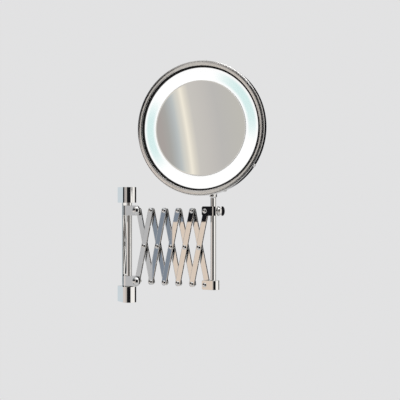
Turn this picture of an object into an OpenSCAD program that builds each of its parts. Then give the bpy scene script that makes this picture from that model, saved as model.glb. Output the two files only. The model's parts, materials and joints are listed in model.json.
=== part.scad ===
// Extendable shaving mirror. A round mirror with a lit ring is carried by a scissor arm that swings on
// a wall rod and draws out from the wall. Lengths are in millimetres, the wall is the plane Y = 0, the
// object stands out towards -Y, and +Z is up. The origin is the middle of the wall strip's rear face.

/* [Wall unit] */
// Overall height of the wall unit
wall_unit_h = 214; // [205:1:230]
// Height of each wall bracket
bracket_h = 29; // [26:1:32]
// Radius of a bracket's round front, which is half its width
bracket_r = 13.2; // [13:0.1:15]
// Distance from the wall to the axis of the wall rod
rod_reach = 26.5; // [26:0.5:32]
// Diameter of the wall rod and of the mirror rod
rod_d = 10; // [9:0.5:11]
// Width of the flat strip between the brackets
strip_w = 9.5; // [8:0.5:12]
// Thickness of the flat strip and its pads
strip_t = 4; // [3:0.5:5]
// Sideways distance between the two wall screws of a pad
screw_gap = 12; // [10:1:13]
// Diameter of a wall screw hole
screw_hole_d = 4.5; // [4:0.5:5]

/* [Scissor arm] */
// Distance between the end pivots of a bar
bar_pitch = 134; // [125:1:138]
// Width of a bar
bar_w = 10.5; // [9:0.5:11]
// Thickness of a bar
bar_t = 3; // [2.5:0.1:3]
// Lean of the bars from upright, which sets how far the arm is drawn out
lean = 12.6; // [7:0.1:40]
// Turn of the arm away from the wall plane
arm_out = 55; // [20:1:150]
// Diameter of the pivot shanks
pivot_d = 4; // [3.5:0.1:4.2]
// Diameter of the rivet heads
rivet_head_d = 8.4; // [7.5:0.1:9]
// Diameter of the large dome screws on the wall side
dome_screw_d = 14.5; // [12:0.5:15]

/* [End blocks] */
// Distance from the wall rod's axis to the first pivots
wall_ear = 20; // [19:0.5:22]
// Distance from the last pivots to the mirror rod's axis
end_ear = 13; // [13:0.5:16]
// Half the depth of every block
block_half = 8.3; // [8.2:0.1:9]
// Height of the blocks on the wall rod
wall_block_h = 18.4; // [17:0.2:20]
// Height of the blocks on the mirror rod
end_block_h = 16.6; // [16:0.2:18]

/* [Mirror head] */
// Outer radius of the bezel
bezel_r = 115; // [112:1:118]
// Visible outer radius of the lit ring
ring_r = 103.2; // [102.8:0.1:103.6]
// Radius of the mirror glass
glass_r = 81.5; // [78:0.5:82]
// Depth of the head from the bezel's front to the back cover
head_depth = 38; // [38:0.5:40]
// Radius of curvature of the magnifying mirror face
glass_curve_r = 1200; // [1000:50:2500]
// Distance from the mirror rod's axis to the bezel's front
head_reach = 70; // [68:1:76]
// Height of the head's centre above the origin
head_z = 205.5; // [204:0.5:212]
// Turn of the head away from the wall's outward direction
head_turn = 45.5; // [40:0.5:60]
// Height of the tilt pin above the origin
tilt_z = 95; // [94:0.5:97]

/* [Hidden] */
$fn = 96;
running = 0.05;        // radial clearance of a turning or sliding fit
fixed = 0.02;          // radial clearance of a fit that doesn't move
face_gap = 0.2;        // gap between flat faces that move past each other
rod_r = rod_d / 2;
pivot_r = pivot_d / 2;
bar_gap = 2;           // gap between the front and the rear bars
bar_out = bar_gap / 2 + bar_t;
slot_half = bar_out + 0.3;
half_unit_h = wall_unit_h / 2;
washer_t = 1.4;
lower_bracket_top = -half_unit_h + bracket_h;
washer_top = lower_bracket_top + washer_t;
low_z = washer_top + face_gap + wall_block_h / 2;
unit_w = bar_pitch * sin(lean);
high_z = low_z + bar_pitch * cos(lean);
units = 5;
end_x = wall_ear + units * unit_w;
rod_x = end_x + end_ear;
tail = 2.8;            // how far a block's round end is centred past its rod
rod_seat = 23;         // depth of the wall rod in a bracket
pad_w = 2 * bracket_r - 5;
pad_h = bracket_h - 5.6;
spigot_r = rod_r - 1;  // the mirror rod's thinner lower end
spigot_top = low_z + end_block_h / 2 + 0.1;
end_screw_head_h = 2.2;
counterbore = end_screw_head_h + 0.8;
rod_bottom = low_z - end_block_h / 2 + counterbore - 0.1;
rod_top = 86.5;
fork_gap = 6;
fork_w = 11.6;
fork_r = 5.5;
lug_t = fork_gap - 0.3;
lug_r = 5.2;
tilt_pin_r = 2.2;
back_y = head_depth - head_reach;  // the back cover's plane, behind the bezel, in the head's own frame
flange_t = 3;
flange_w = 28;
flange_low = tilt_z + 20;
flange_h = 36;
thread_r = 2.5;        // clamp knob's thread
knob_base = tail + block_half + 0.5;
pad_len = 2;
skirt_t = 13;          // depth of the bezel's outer skirt
skirt_wall = 2;
screw_t = 8.5;         // depth of the bezel screws behind the front
wall_t = 1.6;          // wall of the back cover
back_corner = 8;       // rounding of the back cover's edge
drum_r = bezel_r - 10; // radius of the back cover near its back
flange_r = bezel_r - skirt_wall - face_gap;
bezel_screw_angles = [86, -34, 206];
switch_angle = -68;
switch_t = 9.6;
button_r = 3;
gland_x = -46;
gland_z = -66;
gland_bore_r = 3;
led_count = 24;

// ---- frames -------------------------------------------------------------------------------------

// The arm's own frame: X along the arm from the wall rod's axis, -Y towards its front.
module on_arm() {
    translate([0, -rod_reach, 0]) rotate([0, 0, -arm_out]) children();
}

// The tilting joint's frame: on the mirror rod's axis, -Y the way that the mirror faces.
module on_mirror_rod() {
    on_arm() translate([rod_x, 0, 0]) rotate([0, 0, arm_out - head_turn]) children();
}

// The head's frame: +Z out of the mirror, +Y up, origin in the middle of the bezel's front plane.
module on_head() {
    on_mirror_rod() translate([0, -head_reach, head_z]) rotate([90, 0, 0]) children();
}

// ---- shared shapes ------------------------------------------------------------------------------

// A spherical cap of radius r and height h on the plane Z = 0.
module dome(r, h) {
    ball_r = (r * r + h * h) / (2 * h);
    intersection() {
        translate([0, 0, h - ball_r]) sphere(r = ball_r);
        translate([-2 * r, -2 * r, 0]) cube([4 * r, 4 * r, 2 * h]);
    }
}

module ring(outer, inner, h) {
    difference() {
        cylinder(r = outer, h = h);
        translate([0, 0, -1]) cylinder(r = inner, h = h + 2);
    }
}

// A pivot along +Z towards the front: shank, dome head on the plane front_z and flat tail on rear_z.
module pivot(front_z, rear_z, head_d, head_h, tail_d, tail_h) {
    cylinder_h = front_z - rear_z + tail_h + 0.5;
    union() {
        translate([0, 0, rear_z - tail_h]) cylinder(r = pivot_r, h = cylinder_h);
        translate([0, 0, front_z]) dome(head_d / 2, head_h);
        translate([0, 0, rear_z - tail_h]) cylinder(r = tail_d / 2, h = tail_h);
    }
}

// ---- wall unit ----------------------------------------------------------------------------------

module pad_centres() {
    for (side = [-1, 1]) translate([0, 0, side * (half_unit_h - bracket_h / 2)]) children();
}

// Flat strip with a pad at each end; each pad takes two wall screws.
module wall_plate() {
    color("gainsboro") difference() {
        union() {
            translate([-strip_w / 2, -strip_t, -half_unit_h + bracket_h / 2])
                cube([strip_w, strip_t, wall_unit_h - bracket_h]);
            pad_centres() translate([-pad_w / 2, -strip_t, -pad_h / 2]) cube([pad_w, strip_t, pad_h]);
        }
        pad_centres() for (side = [-1, 1]) translate([side * screw_gap / 2, 0, 0])
            rotate([90, 0, 0]) cylinder(r = screw_hole_d / 2, h = 4 * strip_t, center = true);
    }
}

// D-section bracket, drawn as the upper one about its own centre: rod bore from below, pocket for the
// plate's pad and the screw heads at the back, and two set screw holes from above.
module bracket() {
    pocket = 0.2;
    difference() {
        translate([0, 0, -bracket_h / 2]) union() {
            translate([0, -rod_reach, 0]) cylinder(r = bracket_r, h = bracket_h);
            translate([-bracket_r, -rod_reach, 0]) cube([2 * bracket_r, rod_reach, bracket_h]);
        }
        translate([0, -rod_reach, -bracket_h / 2 - 1]) cylinder(r = rod_r + fixed, h = rod_seat + 1.2);
        translate([-pad_w / 2 - pocket, -strip_t, -pad_h / 2 - pocket])
            cube([pad_w + 2 * pocket, 2 * strip_t, pad_h + 2 * pocket]);
        translate([-strip_w / 2 - pocket, -strip_t, -bracket_h])
            cube([strip_w + 2 * pocket, 2 * strip_t, bracket_h]);
        for (side = [-1, 1]) {
            translate([side * screw_gap / 2, 0, 0]) rotate([90, 0, 0]) cylinder(r = 4.8, h = strip_t + 3.2);
            translate([side * 7, -strip_t / 2 - 0.4, 0]) cylinder(r = 1.5 + fixed, h = bracket_h);
        }
    }
}

module upper_bracket() {
    color("silver") translate([0, 0, half_unit_h - bracket_h / 2]) bracket();
}

module lower_bracket() {
    color("silver") translate([0, 0, -half_unit_h + bracket_h / 2]) rotate([0, 180, 0]) bracket();
}

module wall_rod() {
    seat = half_unit_h - bracket_h + rod_seat;
    color("silver") translate([0, -rod_reach, 0]) union() {
        translate([0, 0, -seat + 1]) cylinder(r = rod_r, h = 2 * seat - 2);
        translate([0, 0, seat - 1]) cylinder(r1 = rod_r, r2 = rod_r - 1, h = 1);
        translate([0, 0, -seat]) cylinder(r1 = rod_r - 1, r2 = rod_r, h = 1);
    }
}

// Four grub screws that bear on the outer edges of the plate's pads.
module bracket_set_screws() {
    pad_edge = half_unit_h - bracket_h / 2 + pad_h / 2;
    color("dimgray") for (end = [-1, 1], side = [-1, 1])
        scale([1, 1, end]) translate([side * 7, -strip_t / 2 - 0.4, pad_edge]) difference() {
            cylinder(r = 1.5, h = 2.4);
            translate([0, 0, 1.2]) cylinder(r = 0.85, h = 3, $fn = 6);
        }
}

module glide_washer() {
    color("whitesmoke") translate([0, -rod_reach, lower_bracket_top]) ring(8, rod_r + 0.15, washer_t);
}

// ---- blocks on the rods -------------------------------------------------------------------------

// Side outline of a block: full height h, ending tip past the pivot with rounded corners.
module ear_outline(h, ear, tip, corner) {
    union() {
        translate([-2 * block_half, -h / 2]) square([2 * block_half + ear + tip - corner, h]);
        translate([0, -h / 2 + corner - 0.001]) square([ear + tip, h - 2 * corner + 0.002]);
        for (side = [-1, 1]) translate([ear + tip - corner, side * (h / 2 - corner)]) circle(r = corner);
    }
}

// A block about its rod's axis with its ear along +X: rod bore, pivot hole and a step, open to the rear,
// that the bars lie in behind the one cheek.
module fork_block(h, ear, tip, corner, bore_r) {
    difference() {
        intersection() {
            translate([0, 0, -h]) linear_extrude(height = 2 * h) union() {
                translate([-tail, 0]) circle(r = block_half);
                translate([-tail, -block_half]) square([tail + ear + 2 * tip, 2 * block_half]);
            }
            rotate([90, 0, 0]) translate([0, 0, -2 * block_half])
                linear_extrude(height = 4 * block_half) ear_outline(h, ear, tip, corner);
        }
        translate([0, 0, -h]) cylinder(r = bore_r, h = 2 * h);
        translate([ear - bar_w / 2 - 0.8, -slot_half, -h])
            cube([bar_w + 2 * tip, slot_half + 2 * block_half, 2 * h]);
        translate([ear, 0, 0]) rotate([90, 0, 0])
            cylinder(r = pivot_r + fixed, h = 4 * block_half, center = true);
    }
}

// A screw through the cheek and the bars, with its nut behind them.
module fork_screw(head_d, head_h) {
    rotate([90, 0, 0]) pivot(block_half, -slot_half, head_d, head_h, 7.5, 1.6);
}

// The bush that fills the step beside the one bar of a block; side is 1 in front and -1 behind.
module fork_bush(side) {
    length = slot_half + bar_gap / 2 - face_gap;
    rotate([90 * side, 0, 0]) translate([0, 0, slot_half - length]) ring(4, pivot_r + fixed, length);
}

module wall_block() {
    fork_block(wall_block_h, wall_ear, dome_screw_d / 2, dome_screw_d / 2, rod_r + running);
}

module lower_wall_collar() {
    color("silver") on_arm() translate([0, 0, low_z]) wall_block();
}

module upper_wall_collar() {
    color("silver") on_arm() translate([0, 0, high_z]) wall_block();
}

module lower_wall_pivot_screw() {
    color("silver") on_arm() translate([wall_ear, 0, low_z]) fork_screw(dome_screw_d, 4);
}

module upper_wall_pivot_screw() {
    color("silver") on_arm() translate([wall_ear, 0, high_z]) fork_screw(dome_screw_d, 4);
}

module lower_wall_spacer() {
    color("lightgray") on_arm() translate([wall_ear, 0, low_z]) fork_bush(-1);
}

module upper_wall_spacer() {
    color("lightgray") on_arm() translate([wall_ear, 0, high_z]) fork_bush(1);
}

// The mirror rod's thinner end turns in this block and is held by a screw in the counterbore.
module lower_end_block() {
    color("silver") on_arm() translate([rod_x, 0, low_z]) difference() {
        mirror([1, 0, 0]) fork_block(end_block_h, end_ear, 5.7, 3, spigot_r + running);
        translate([0, 0, -end_block_h / 2 - 1]) cylinder(r = 6.6, h = counterbore + 1);
    }
}

// Slides on the mirror rod; a threaded hole through its round end takes the clamp knob.
module upper_end_collar() {
    color("silver") on_arm() translate([rod_x, 0, high_z]) difference() {
        mirror([1, 0, 0]) fork_block(end_block_h, end_ear, 5.7, 3, rod_r + running);
        rotate([0, 90, 0]) cylinder(r = thread_r + running, h = 3 * block_half);
    }
}

module lower_end_pivot_screw() {
    color("silver") on_arm() translate([end_x, 0, low_z]) fork_screw(rivet_head_d, 2.2);
}

module upper_end_pivot_screw() {
    color("silver") on_arm() translate([end_x, 0, high_z]) fork_screw(rivet_head_d, 2.2);
}

module lower_end_spacer() {
    color("lightgray") on_arm() translate([end_x, 0, low_z]) fork_bush(1);
}

module upper_end_spacer() {
    color("lightgray") on_arm() translate([end_x, 0, high_z]) fork_bush(-1);
}

// ---- scissor ------------------------------------------------------------------------------------

// A bar from its lower pivot at the origin up along +Z; side is -1 in the front row, 1 in the rear row.
module bar(side) {
    translate([0, side * (bar_out - bar_t / 2), 0]) rotate([90, 0, 0])
        translate([0, 0, -bar_t / 2]) linear_extrude(height = bar_t) difference() {
            union() {
                translate([-bar_w / 2, 0]) square([bar_w, bar_pitch]);
                for (z = [0, bar_pitch]) translate([0, z]) circle(r = bar_w / 2);
            }
            for (z = [0, bar_pitch / 2, bar_pitch]) translate([0, z]) circle(r = pivot_r + running);
        }
}

module front_bar(k) {
    color("silver") on_arm()
        translate([wall_ear + (k - 1) * unit_w, 0, low_z]) rotate([0, lean, 0]) bar(-1);
}

module rear_bar(k) {
    color("silver") on_arm()
        translate([wall_ear + k * unit_w, 0, low_z]) rotate([0, -lean, 0]) bar(1);
}

// The places of the rivets that front bar k carries: below (not on the first), middle, above (not last).
module rivet_places(k) {
    mid_z = (low_z + high_z) / 2;
    places = [
        if (k > 1) [(k - 1) * unit_w, low_z],
        [(k - 0.5) * unit_w, mid_z],
        if (k < units) [k * unit_w, high_z]
    ];
    on_arm() for (p = places) translate([wall_ear + p[0], 0, p[1]]) rotate([90, 0, 0]) children();
}

module rivets(k) {
    color("silver") rivet_places(k) pivot(bar_out, -bar_out - face_gap, rivet_head_d, 2.2, 7, 1.2);
}

module spacers(k) {
    color("lightgray") rivet_places(k)
        translate([0, 0, -bar_gap / 2 + face_gap]) ring(4, pivot_r + fixed, bar_gap - face_gap);
}

// ---- clamp and mirror rod -----------------------------------------------------------------------

// Spool-shaped thumb screw: thread, flange, hollow waist and a wide, slightly domed end.
module clamp_knob() {
    stem_start = rod_r + 0.05 + pad_len + 0.05;
    color("silver") on_arm() translate([rod_x, 0, high_z]) rotate([0, 90, 0]) union() {
        translate([0, 0, stem_start]) cylinder(r = thread_r, h = knob_base - stem_start + 1);
        translate([0, 0, knob_base]) difference() {
            union() {
                cylinder(r = 7.3, h = 4);
                translate([0, 0, 3.4]) cylinder(r = 8.5, h = 3.8);
            }
            translate([0, 0, 3.3]) rotate_extrude() translate([8.7, 0]) circle(r = 2.9);
        }
        translate([0, 0, knob_base + 7.2]) dome(8.2, 1.1);
    }
}

module clamp_pad() {
    color("whitesmoke") on_arm() translate([rod_x, 0, high_z]) rotate([0, 90, 0])
        translate([0, 0, rod_r + 0.05]) cylinder(r = thread_r, h = pad_len);
}

// The lower stretch is thinner and turns in the end block; the top has a threaded spigot for the fork.
module mirror_rod() {
    color("silver") on_arm() translate([rod_x, 0, 0]) difference() {
        union() {
            translate([0, 0, rod_bottom]) cylinder(r = spigot_r, h = spigot_top - rod_bottom + 1);
            translate([0, 0, spigot_top]) cylinder(r = rod_r, h = rod_top - spigot_top);
            translate([0, 0, rod_top - 1]) cylinder(r = 2.5, h = 2.6);
        }
        translate([0, 0, rod_bottom - 1]) cylinder(r = 2 + fixed, h = 11);
    }
}

module rod_end_screw() {
    color("dimgray") on_arm() translate([rod_x, 0, rod_bottom - end_screw_head_h]) difference() {
        union() {
            cylinder(r = 6, h = end_screw_head_h);
            cylinder(r = 2, h = end_screw_head_h + 8);
        }
        translate([0, 0, -1]) cylinder(r = 1.7, h = 2.4, $fn = 6);
    }
}

// ---- tilting joint ------------------------------------------------------------------------------

// Two cheeks on a flared foot at the top of the mirror rod.
module tilt_fork() {
    foot_h = tilt_z - lug_r - 0.4 - rod_top;
    color("silver") on_mirror_rod() difference() {
        union() {
            translate([0, 0, rod_top]) cylinder(r1 = rod_r, r2 = fork_w / 2, h = foot_h - 0.5);
            intersection() {
                translate([0, 0, rod_top + foot_h - 0.5]) cylinder(r = fork_w / 2 + 1, h = 30);
                translate([-fork_w / 2, 0, 0]) rotate([90, 0, 90]) linear_extrude(height = fork_w) union() {
                    translate([0, tilt_z]) circle(r = fork_r);
                    translate([-fork_r, rod_top]) square([2 * fork_r, tilt_z - rod_top]);
                }
            }
        }
        translate([-fork_gap / 2, -2 * fork_r, rod_top + foot_h]) cube([fork_gap, 4 * fork_r, 30]);
        translate([0, 0, tilt_z]) rotate([0, 90, 0])
            cylinder(r = tilt_pin_r + fixed, h = 40, center = true);
        translate([0, 0, rod_top - 1]) cylinder(r = 2.5 + fixed, h = 2.7);
    }
}

module tilt_pin() {
    head_x = fork_w / 2;
    color("silver") on_mirror_rod() translate([0, 0, tilt_z]) union() {
        rotate([0, 90, 0]) cylinder(r = tilt_pin_r, h = fork_w, center = true);
        translate([head_x - 0.3, 0, 0]) rotate([0, 90, 0]) cylinder(r = tilt_pin_r, h = 0.4);
        translate([head_x, 0, 0]) rotate([0, 90, 0]) dome(3.6, 1.3);
        translate([-head_x, 0, 0]) rotate([0, -90, 0]) dome(3.6, 1.3);
    }
}

// Two circles and the common tangent band between them.
module strap(c1, r1, c2, r2) {
    d = c2 - c1;
    along = atan2(d[1], d[0]);
    spread = acos((r1 - r2) / norm(d));
    up = [cos(along + spread), sin(along + spread)];
    down = [cos(along - spread), sin(along - spread)];
    union() {
        translate(c1) circle(r = r1);
        translate(c2) circle(r = r2);
        polygon([c1 + r1 * up, c2 + r2 * up, c2 + r2 * down, c1 + r1 * down]);
    }
}

module lug_screw_places() {
    for (x = [-9, 9], z = [7, flange_h - 7]) translate([x, back_y, flange_low + z]) children();
}

// Tongue from the tilt pin to a flange on the back cover.
module tilt_lug() {
    color("silver") on_mirror_rod() difference() {
        union() {
            translate([-lug_t / 2, 0, 0]) rotate([90, 0, 90])
                linear_extrude(height = lug_t) intersection() {
                    strap([0, tilt_z], lug_r, [back_y + 4, flange_low + flange_h / 2], 11);
                    translate([back_y + 1, 0]) square([200, 400]);
                }
            translate([-flange_w / 2, back_y, flange_low]) cube([flange_w, flange_t, flange_h]);
        }
        translate([0, 0, tilt_z]) rotate([0, 90, 0])
            cylinder(r = tilt_pin_r + running, h = 40, center = true);
        lug_screw_places() rotate([90, 0, 0]) cylinder(r = 2 + fixed, h = 20, center = true);
    }
}

module lug_screws() {
    color("silver") on_mirror_rod() lug_screw_places() union() {
        translate([0, flange_t, 0]) rotate([-90, 0, 0]) dome(3.6, 2);
        translate([0, flange_t + 0.3, 0]) rotate([90, 0, 0])
            cylinder(r = 2, h = flange_t + 0.3 + wall_t + 2);
    }
}

// ---- mirror head --------------------------------------------------------------------------------

// Places on the skirt's side, with +Z pointing outwards from the head's axis.
module radial(angle, depth, r) {
    rotate([0, 0, angle]) translate([r, 0, -depth]) rotate([0, 90, 0]) children();
}

// Back cover: rim flange inside the bezel's skirt, tapered side, rounded edge, closed back, pan pillars.
module rear_housing() {
    corner_r = drum_r - back_corner;
    corner_z = -head_depth + back_corner;
    side_r = drum_r + 3.5;
    color("silver") on_head() difference() {
        union() {
            rotate_extrude() difference() {
                union() {
                    translate([corner_r, corner_z]) circle(r = back_corner);
                    polygon([
                        [0, -head_depth], [corner_r, -head_depth], [drum_r, corner_z],
                        [side_r, -skirt_t - 0.4], [flange_r, -skirt_t - 0.4], [flange_r, -6.2], [0, -6.2]
                    ]);
                }
                translate([corner_r, corner_z]) circle(r = back_corner - wall_t);
                polygon([
                    [-1, -head_depth + wall_t], [corner_r, -head_depth + wall_t],
                    [drum_r - wall_t, corner_z], [side_r - wall_t, -skirt_t + wall_t - 0.4],
                    [flange_r - 2, -skirt_t + wall_t - 0.4], [flange_r - 2, 0], [-1, 0]
                ]);
            }
            for (a = [30, 150, 270]) rotate([0, 0, a]) translate([94, 0, -head_depth + 1])
                cylinder(r = 4, h = head_depth - 1 - 25.2);
        }
        for (a = bezel_screw_angles) radial(a, screw_t, flange_r - 5) cylinder(r = 1.5 + fixed, h = 10);
        radial(switch_angle, switch_t, flange_r - 5) cylinder(r = button_r + 0.1, h = 10);
        for (x = [-9, 9], z = [7, flange_h - 7])
            translate([x, flange_low + z - head_z, -head_depth - 1]) cylinder(r = 2 + fixed, h = 4);
        translate([gland_x, gland_z, -head_depth - 1]) cylinder(r = 6 + fixed, h = 4);
    }
}

// Turned ring: gently convex band beside the seal, groove, outer bead and skirt.
module bezel_ring() {
    band_in = 106.4;
    bead_r = 0.9;
    color("silver") on_head() difference() {
        rotate_extrude() union() {
            intersection() {
                translate([109.7, -14]) circle(r = 14);
                translate([band_in, -5]) square([6.5, 6]);
            }
            translate([band_in, -6]) square([bezel_r - band_in, 1.6]);
            translate([bezel_r - skirt_wall, -skirt_t]) square([skirt_wall, skirt_t - 4.5]);
            translate([bezel_r - 2 * bead_r, -6]) square([2 * bead_r, 4.4]);
            translate([bezel_r - bead_r, -1.6]) circle(r = bead_r);
        }
        for (a = bezel_screw_angles) radial(a, screw_t, bezel_r - 5) cylinder(r = 1.5 + fixed, h = 10);
        radial(switch_angle, switch_t, bezel_r - 5) cylinder(r = button_r + 0.1, h = 10);
    }
}

module bezel_screws() {
    color("silver") on_head() for (a = bezel_screw_angles) radial(a, screw_t, 0) union() {
        translate([0, 0, flange_r - 2.2]) cylinder(r = 1.5, h = bezel_r - flange_r + 2.6);
        translate([0, 0, bezel_r]) dome(3.3, 1.7);
    }
}

// Black ring between the bezel's band and the lit ring.
module front_seal() {
    color("black") on_head() translate([0, 0, -6.1]) ring(106.3, ring_r, 3.1);
}

// Opal annulus in front of the lamp.
module diffuser_ring() {
    color("white") on_head() translate([0, 0, -7.9]) union() {
        ring(ring_r - 0.1, glass_r + 0.4, 3.4);
        ring(106, glass_r + 0.4, 1.8);
    }
}

// Magnifying mirror: a glass disc whose face is a shallow dish of radius glass_curve_r, in rings.
module mirror_glass() {
    rings = 12;
    dish = [for (i = [0 : rings]) let (r = glass_r * i / rings) [r, -5.4 + r * r / (2 * glass_curve_r)]];
    color("lightsteelblue") on_head() rotate_extrude() polygon(concat(dish, [[glass_r, -7.9], [0, -7.9]]));
}

module mirror_carrier() {
    color("gray") on_head() translate([0, 0, -10]) cylinder(r = glass_r + 3, h = 2.1);
}

// White trough behind the lit ring.
module light_pan() {
    color("white") on_head() translate([0, 0, -25.2]) rotate_extrude() difference() {
        translate([glass_r + 1, 0]) square([103 - glass_r - 1, 17.3]);
        translate([glass_r + 2.5, 1.2]) square([101.8 - glass_r - 2.5, 20]);
        translate([glass_r, 15.2]) square([4, 5]);
    }
}

module led_board() {
    color("white") on_head() translate([0, 0, -24]) ring(101, 86, 1.6);
}

module leds() {
    color("lemonchiffon") on_head() for (i = [0 : led_count - 1])
        rotate([0, 0, i * 360 / led_count]) translate([93.5 - 2.5, -2.5, -22.4]) cube([5, 5, 1.2]);
}

module led_driver() {
    color("darkslategray") on_head() translate([-36, 4, -head_depth + wall_t]) cube([72, 40, 17]);
}

// Push switch behind the skirt.
module switch_body() {
    color("darkslategray") on_head() radial(switch_angle, switch_t, 0)
        translate([-1.5, -6, 104.1]) cube([3.6, 12, 6.2]);
}

module switch_button() {
    color("ghostwhite") on_head() radial(switch_angle, switch_t, 0) union() {
        translate([0, 0, 112]) cylinder(r = button_r, h = bezel_r + 0.7 - 112);
        translate([0, 0, bezel_r + 0.7]) dome(button_r, 1.3);
    }
}

// Inlet for the supply lead: nut inside, threaded barrel and a domed cap outside.
module cable_gland() {
    color("dimgray") on_head() translate([gland_x, gland_z, -head_depth]) difference() {
        union() {
            translate([0, 0, wall_t]) cylinder(r = 8.5, h = 3, $fn = 6);
            translate([0, 0, -1]) cylinder(r = 6, h = wall_t + 2);
            translate([0, 0, -3]) cylinder(r = 8, h = 3);
            translate([0, 0, -9]) cylinder(r1 = 5.5, r2 = 7, h = 6.2);
        }
        translate([0, 0, -10]) cylinder(r = gland_bore_r, h = 20);
    }
}

// ---- nodes --------------------------------------------------------------------------------------

wall_plate();
upper_bracket();
lower_bracket();
wall_rod();
bracket_set_screws();
glide_washer();
lower_wall_collar();
lower_wall_pivot_screw();
lower_wall_spacer();
upper_wall_collar();
upper_wall_pivot_screw();
upper_wall_spacer();
for (k = [1 : units]) {
    front_bar(k);
    rear_bar(k);
    rivets(k);
    spacers(k);
}
lower_end_block();
lower_end_pivot_screw();
lower_end_spacer();
upper_end_collar();
upper_end_pivot_screw();
upper_end_spacer();
clamp_knob();
clamp_pad();
mirror_rod();
rod_end_screw();
tilt_fork();
tilt_pin();
tilt_lug();
lug_screws();
rear_housing();
bezel_ring();
bezel_screws();
front_seal();
diffuser_ring();
mirror_glass();
mirror_carrier();
light_pan();
led_board();
leds();
led_driver();
switch_body();
switch_button();
cable_gland();
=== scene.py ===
"""Extendable shaving mirror: polished pieces, finishes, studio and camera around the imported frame.

Lengths in the tables below are in millimetres in a piece's own local frame; meshes are written in metres.
"""
import json
import math

import bmesh
import bpy
import numpy as np
from mathutils import Matrix, Vector


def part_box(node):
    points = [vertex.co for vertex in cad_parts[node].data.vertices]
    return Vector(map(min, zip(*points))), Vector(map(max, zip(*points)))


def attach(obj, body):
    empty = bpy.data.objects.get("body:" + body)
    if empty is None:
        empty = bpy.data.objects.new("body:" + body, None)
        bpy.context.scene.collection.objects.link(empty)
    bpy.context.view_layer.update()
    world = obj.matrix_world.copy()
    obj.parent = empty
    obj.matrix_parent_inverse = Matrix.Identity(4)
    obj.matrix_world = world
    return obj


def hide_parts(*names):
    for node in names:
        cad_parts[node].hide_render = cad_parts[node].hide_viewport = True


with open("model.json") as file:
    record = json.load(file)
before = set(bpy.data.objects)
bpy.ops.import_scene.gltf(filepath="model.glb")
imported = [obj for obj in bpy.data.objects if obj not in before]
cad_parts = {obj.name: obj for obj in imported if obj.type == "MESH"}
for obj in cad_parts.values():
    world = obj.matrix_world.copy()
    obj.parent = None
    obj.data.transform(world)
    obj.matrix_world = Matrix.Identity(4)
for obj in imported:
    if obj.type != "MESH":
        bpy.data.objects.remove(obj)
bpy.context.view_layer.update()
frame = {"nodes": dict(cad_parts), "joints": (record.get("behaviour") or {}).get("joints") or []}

MM = 0.001
UP = np.array([0.0, 0.0, 1.0])
JOINTS = {joint["name"]: joint for joint in frame["joints"]}
UNITS = 5
DUST_TONE = (0.55, 0.54, 0.52)
PLASTIC_DUST_TONE = (0.5, 0.49, 0.47)

# ---- local frames -----------------------------------------------------------------------------------


def unit(vector):
    """The vector divided by its length."""
    vector = np.array(vector, float)
    return vector / np.linalg.norm(vector)


class Place:
    """A local frame: an origin in metres and three axes; a local point p in mm is at origin + p @ axes * MM."""

    def __init__(self, origin, x_axis, y_axis, z_axis):
        self.origin = np.array(origin, float)
        self.axes = np.array([x_axis, y_axis, z_axis], float)

    def at(self, x=0.0, y=0.0, z=0.0):
        """The same axes, with the origin moved by a local offset in mm."""
        return Place(self.points([x, y, z]), *self.axes)

    def turned_to(self, z_axis):
        """The same origin with a new Z axis, for a piece turned on a lathe about it."""
        z_axis = unit(z_axis)
        x_axis = unit(np.cross(z_axis, UP if abs(z_axis[2]) < 0.9 else self.axes[0]))
        return Place(self.origin, x_axis, np.cross(z_axis, x_axis), z_axis)

    def points(self, local):
        """Local points in mm to points in metres in the object's frame."""
        return self.origin + np.array(local, float) @ self.axes * MM


def joint_origin(name):
    """A joint's point in metres."""
    return np.array(JOINTS[name]["pos_m"], float)


ARM_X = unit(JOINTS["clamp_travel"]["axis"])
ARM_BACK = unit(JOINTS["extend"]["axis"])
HEAD_X = unit(JOINTS["head_tilt"]["axis"])
HEAD_BACK = np.cross(UP, HEAD_X)
wall_axis = joint_origin("arm_swing") * [1, 1, 0]
rod_axis = joint_origin("mirror_swivel") * [1, 1, 0]
head_low, head_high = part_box("bezel_ring")
LOW_Z = joint_origin("extend")[2] / MM
HIGH_Z = joint_origin("upper_wall_pivot")[2] / MM
WALL_EAR = (joint_origin("extend") - wall_axis) @ ARM_X / MM
END_X = (joint_origin("lower_end_pivot") - wall_axis) @ ARM_X / MM
BAY = (END_X - WALL_EAR) / UNITS
LEAN = math.atan2(BAY, HIGH_Z - LOW_Z)
HEAD_REACH = 70.0
HEAD_Z = (head_low.z + head_high.z) / 2 / MM
TILT_Z = joint_origin("head_tilt")[2] / MM

ARM = Place(wall_axis, ARM_X, ARM_BACK, UP)
ROD = Place(rod_axis, HEAD_X, HEAD_BACK, UP)
ARM_END = Place(rod_axis, ARM_X, ARM_BACK, UP)
HEAD = Place(ROD.at(0, -HEAD_REACH, HEAD_Z).origin, HEAD_X, UP, -HEAD_BACK)

# ---- meshes from arrays -----------------------------------------------------------------------------


def new_object(name, vertices, faces, body, nodes, material, slot):
    """Puts a mesh in the scene on its body, with merged poles, outward faces and even shading on flat faces."""
    mesh = bpy.data.meshes.new(name)
    mesh.from_pydata(vertices.tolist(), [], faces)
    work = bmesh.new()
    work.from_mesh(mesh)
    bmesh.ops.remove_doubles(work, verts=work.verts, dist=1e-7)
    bmesh.ops.dissolve_degenerate(work, edges=work.edges, dist=1e-7)
    bmesh.ops.recalc_face_normals(work, faces=work.faces)
    work.to_mesh(mesh)
    work.free()
    return finish_object(bpy.data.objects.new(name, mesh), body, nodes, material, slot)


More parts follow.
